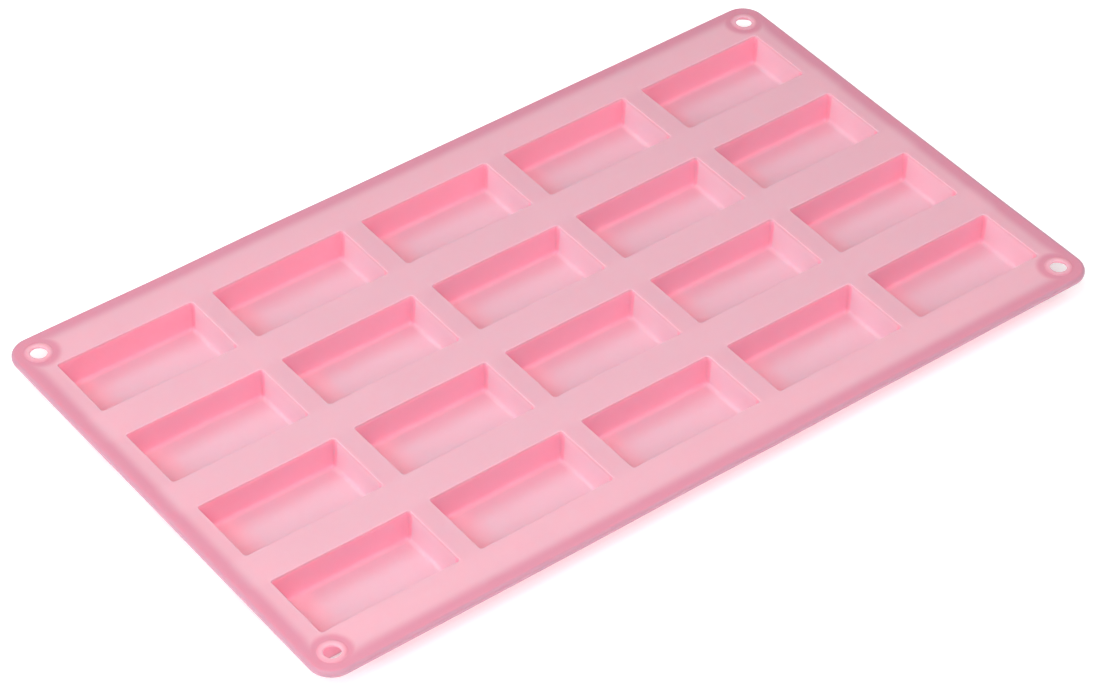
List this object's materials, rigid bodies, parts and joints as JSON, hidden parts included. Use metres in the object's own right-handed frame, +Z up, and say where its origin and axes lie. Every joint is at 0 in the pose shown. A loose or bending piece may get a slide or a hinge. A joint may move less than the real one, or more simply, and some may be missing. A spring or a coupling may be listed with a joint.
{
  "type": "soap bar mould",
  "caption": "Flexible silicone sheet mould with a grid of shallow rectangular cups, a thicker rim and corner hanging holes, for casting small soap bars.",
  "frame": {"origin": "under the middle of the sheet, on the plane that the cups stand on", "axes": "+X along the long side, +Y along the short side, +Z up, out of the cups' mouths"},
  "size_m": [0.3, 0.175, 0.0126],
  "materials": {
    "silicone": "satin, slightly translucent"
  },
  "bodies": {
    "root": {"rim_band": "silicone", "hanging_eyelet_front_left": "silicone", "hanging_eyelet_front_right": "silicone", "hanging_eyelet_back_right": "silicone", "hanging_eyelet_back_left": "silicone", "cup_row_1_column_1": "silicone", "cup_row_1_column_2": "silicone", "cup_row_1_column_3": "silicone", "cup_row_1_column_4": "silicone", "cup_row_1_column_5": "silicone", "cup_row_2_column_1": "silicone", "cup_row_2_column_2": "silicone", "cup_row_2_column_3": "silicone", "cup_row_2_column_4": "silicone", "cup_row_2_column_5": "silicone", "cup_row_3_column_1": "silicone", "cup_row_3_column_2": "silicone", "cup_row_3_column_3": "silicone", "cup_row_3_column_4": "silicone", "cup_row_3_column_5": "silicone", "cup_row_4_column_1": "silicone", "cup_row_4_column_2": "silicone", "cup_row_4_column_3": "silicone", "cup_row_4_column_4": "silicone", "cup_row_4_column_5": "silicone"}
  },
  "joints": []
}
